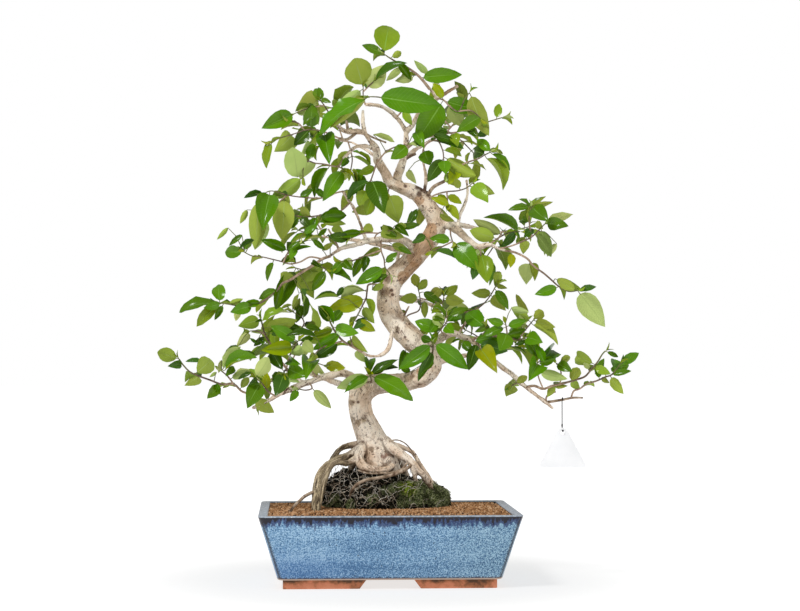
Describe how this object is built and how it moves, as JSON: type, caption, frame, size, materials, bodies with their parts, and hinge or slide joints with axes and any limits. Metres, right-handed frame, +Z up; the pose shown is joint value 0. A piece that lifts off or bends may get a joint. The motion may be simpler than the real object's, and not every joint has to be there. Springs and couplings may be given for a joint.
{
  "type": "eugenia bonsai",
  "caption": "Old eugenia bonsai with a winding trunk, exposed roots on a mossy mound and glossy pointed leaves, in a shallow blue-glazed rectangular pot.",
  "frame": {"origin": "middle of the underside of the box round the pot and tree, without the hanging tag and its string", "axes": "+Z up from the surface the pot stands on, +X to the right as seen from the front, +Y towards the back"},
  "size_m": [0.5768, 0.3004, 0.6811],
  "materials": {
    "glaze": "gloss",
    "mesh_plastic": "matte",
    "wire": "satin",
    "soil": "matte",
    "moss": "matte",
    "bark": "matte",
    "leaf": "satin",
    "card": "satin",
    "string": "matte"
  },
  "bodies": {
    "root": {"pot": "glaze", "drainage_mesh_left": "mesh_plastic", "drainage_mesh_right": "mesh_plastic", "mesh_clip_left": "wire", "mesh_clip_right": "wire", "soil": "soil", "root_mound": "moss", "tree": "bark", "spray_apex": "leaf", "spray_back_centre": "leaf", "spray_back_left_low": "leaf", "spray_back_left_mid": "leaf", "spray_back_right_low": "leaf", "spray_back_right_mid": "leaf", "spray_back_top": "leaf", "spray_back_top_right": "leaf", "spray_centre": "leaf", "spray_far_left": "leaf", "spray_far_left_top": "leaf", "spray_far_right": "leaf", "spray_far_right_low": "leaf", "spray_front_big": "leaf", "spray_hanging_leaves": "leaf", "spray_inner_left": "leaf", "spray_inner_right": "leaf", "spray_left_drop": "leaf", "spray_left_glossy": "leaf", "spray_left_heart": "leaf", "spray_left_high": "leaf", "spray_left_inner": "leaf", "spray_left_long": "leaf", "spray_left_pair": "leaf", "spray_left_under": "leaf", "spray_left_yellow": "leaf", "spray_long_vivid": "leaf", "spray_low_mid": "leaf", "spray_low_right": "leaf", "spray_low_right_twig": "leaf", "spray_mid_hang": "leaf", "spray_mid_top": "leaf", "spray_right_back": "leaf", "spray_right_big": "leaf", "spray_right_cluster": "leaf", "spray_right_curl": "leaf", "spray_right_high": "leaf", "spray_right_inner": "leaf", "spray_right_mid": "leaf", "spray_right_olive": "leaf", "spray_right_under": "leaf", "spray_round_leaf": "leaf", "spray_top_left": "leaf", "spray_top_right": "leaf", "spray_trunk_front": "leaf", "spray_trunk_left": "leaf", "spray_trunk_top": "leaf", "spray_upper_right": "leaf", "tag_string": "string", "tag": "card"}
  },
  "joints": []
}
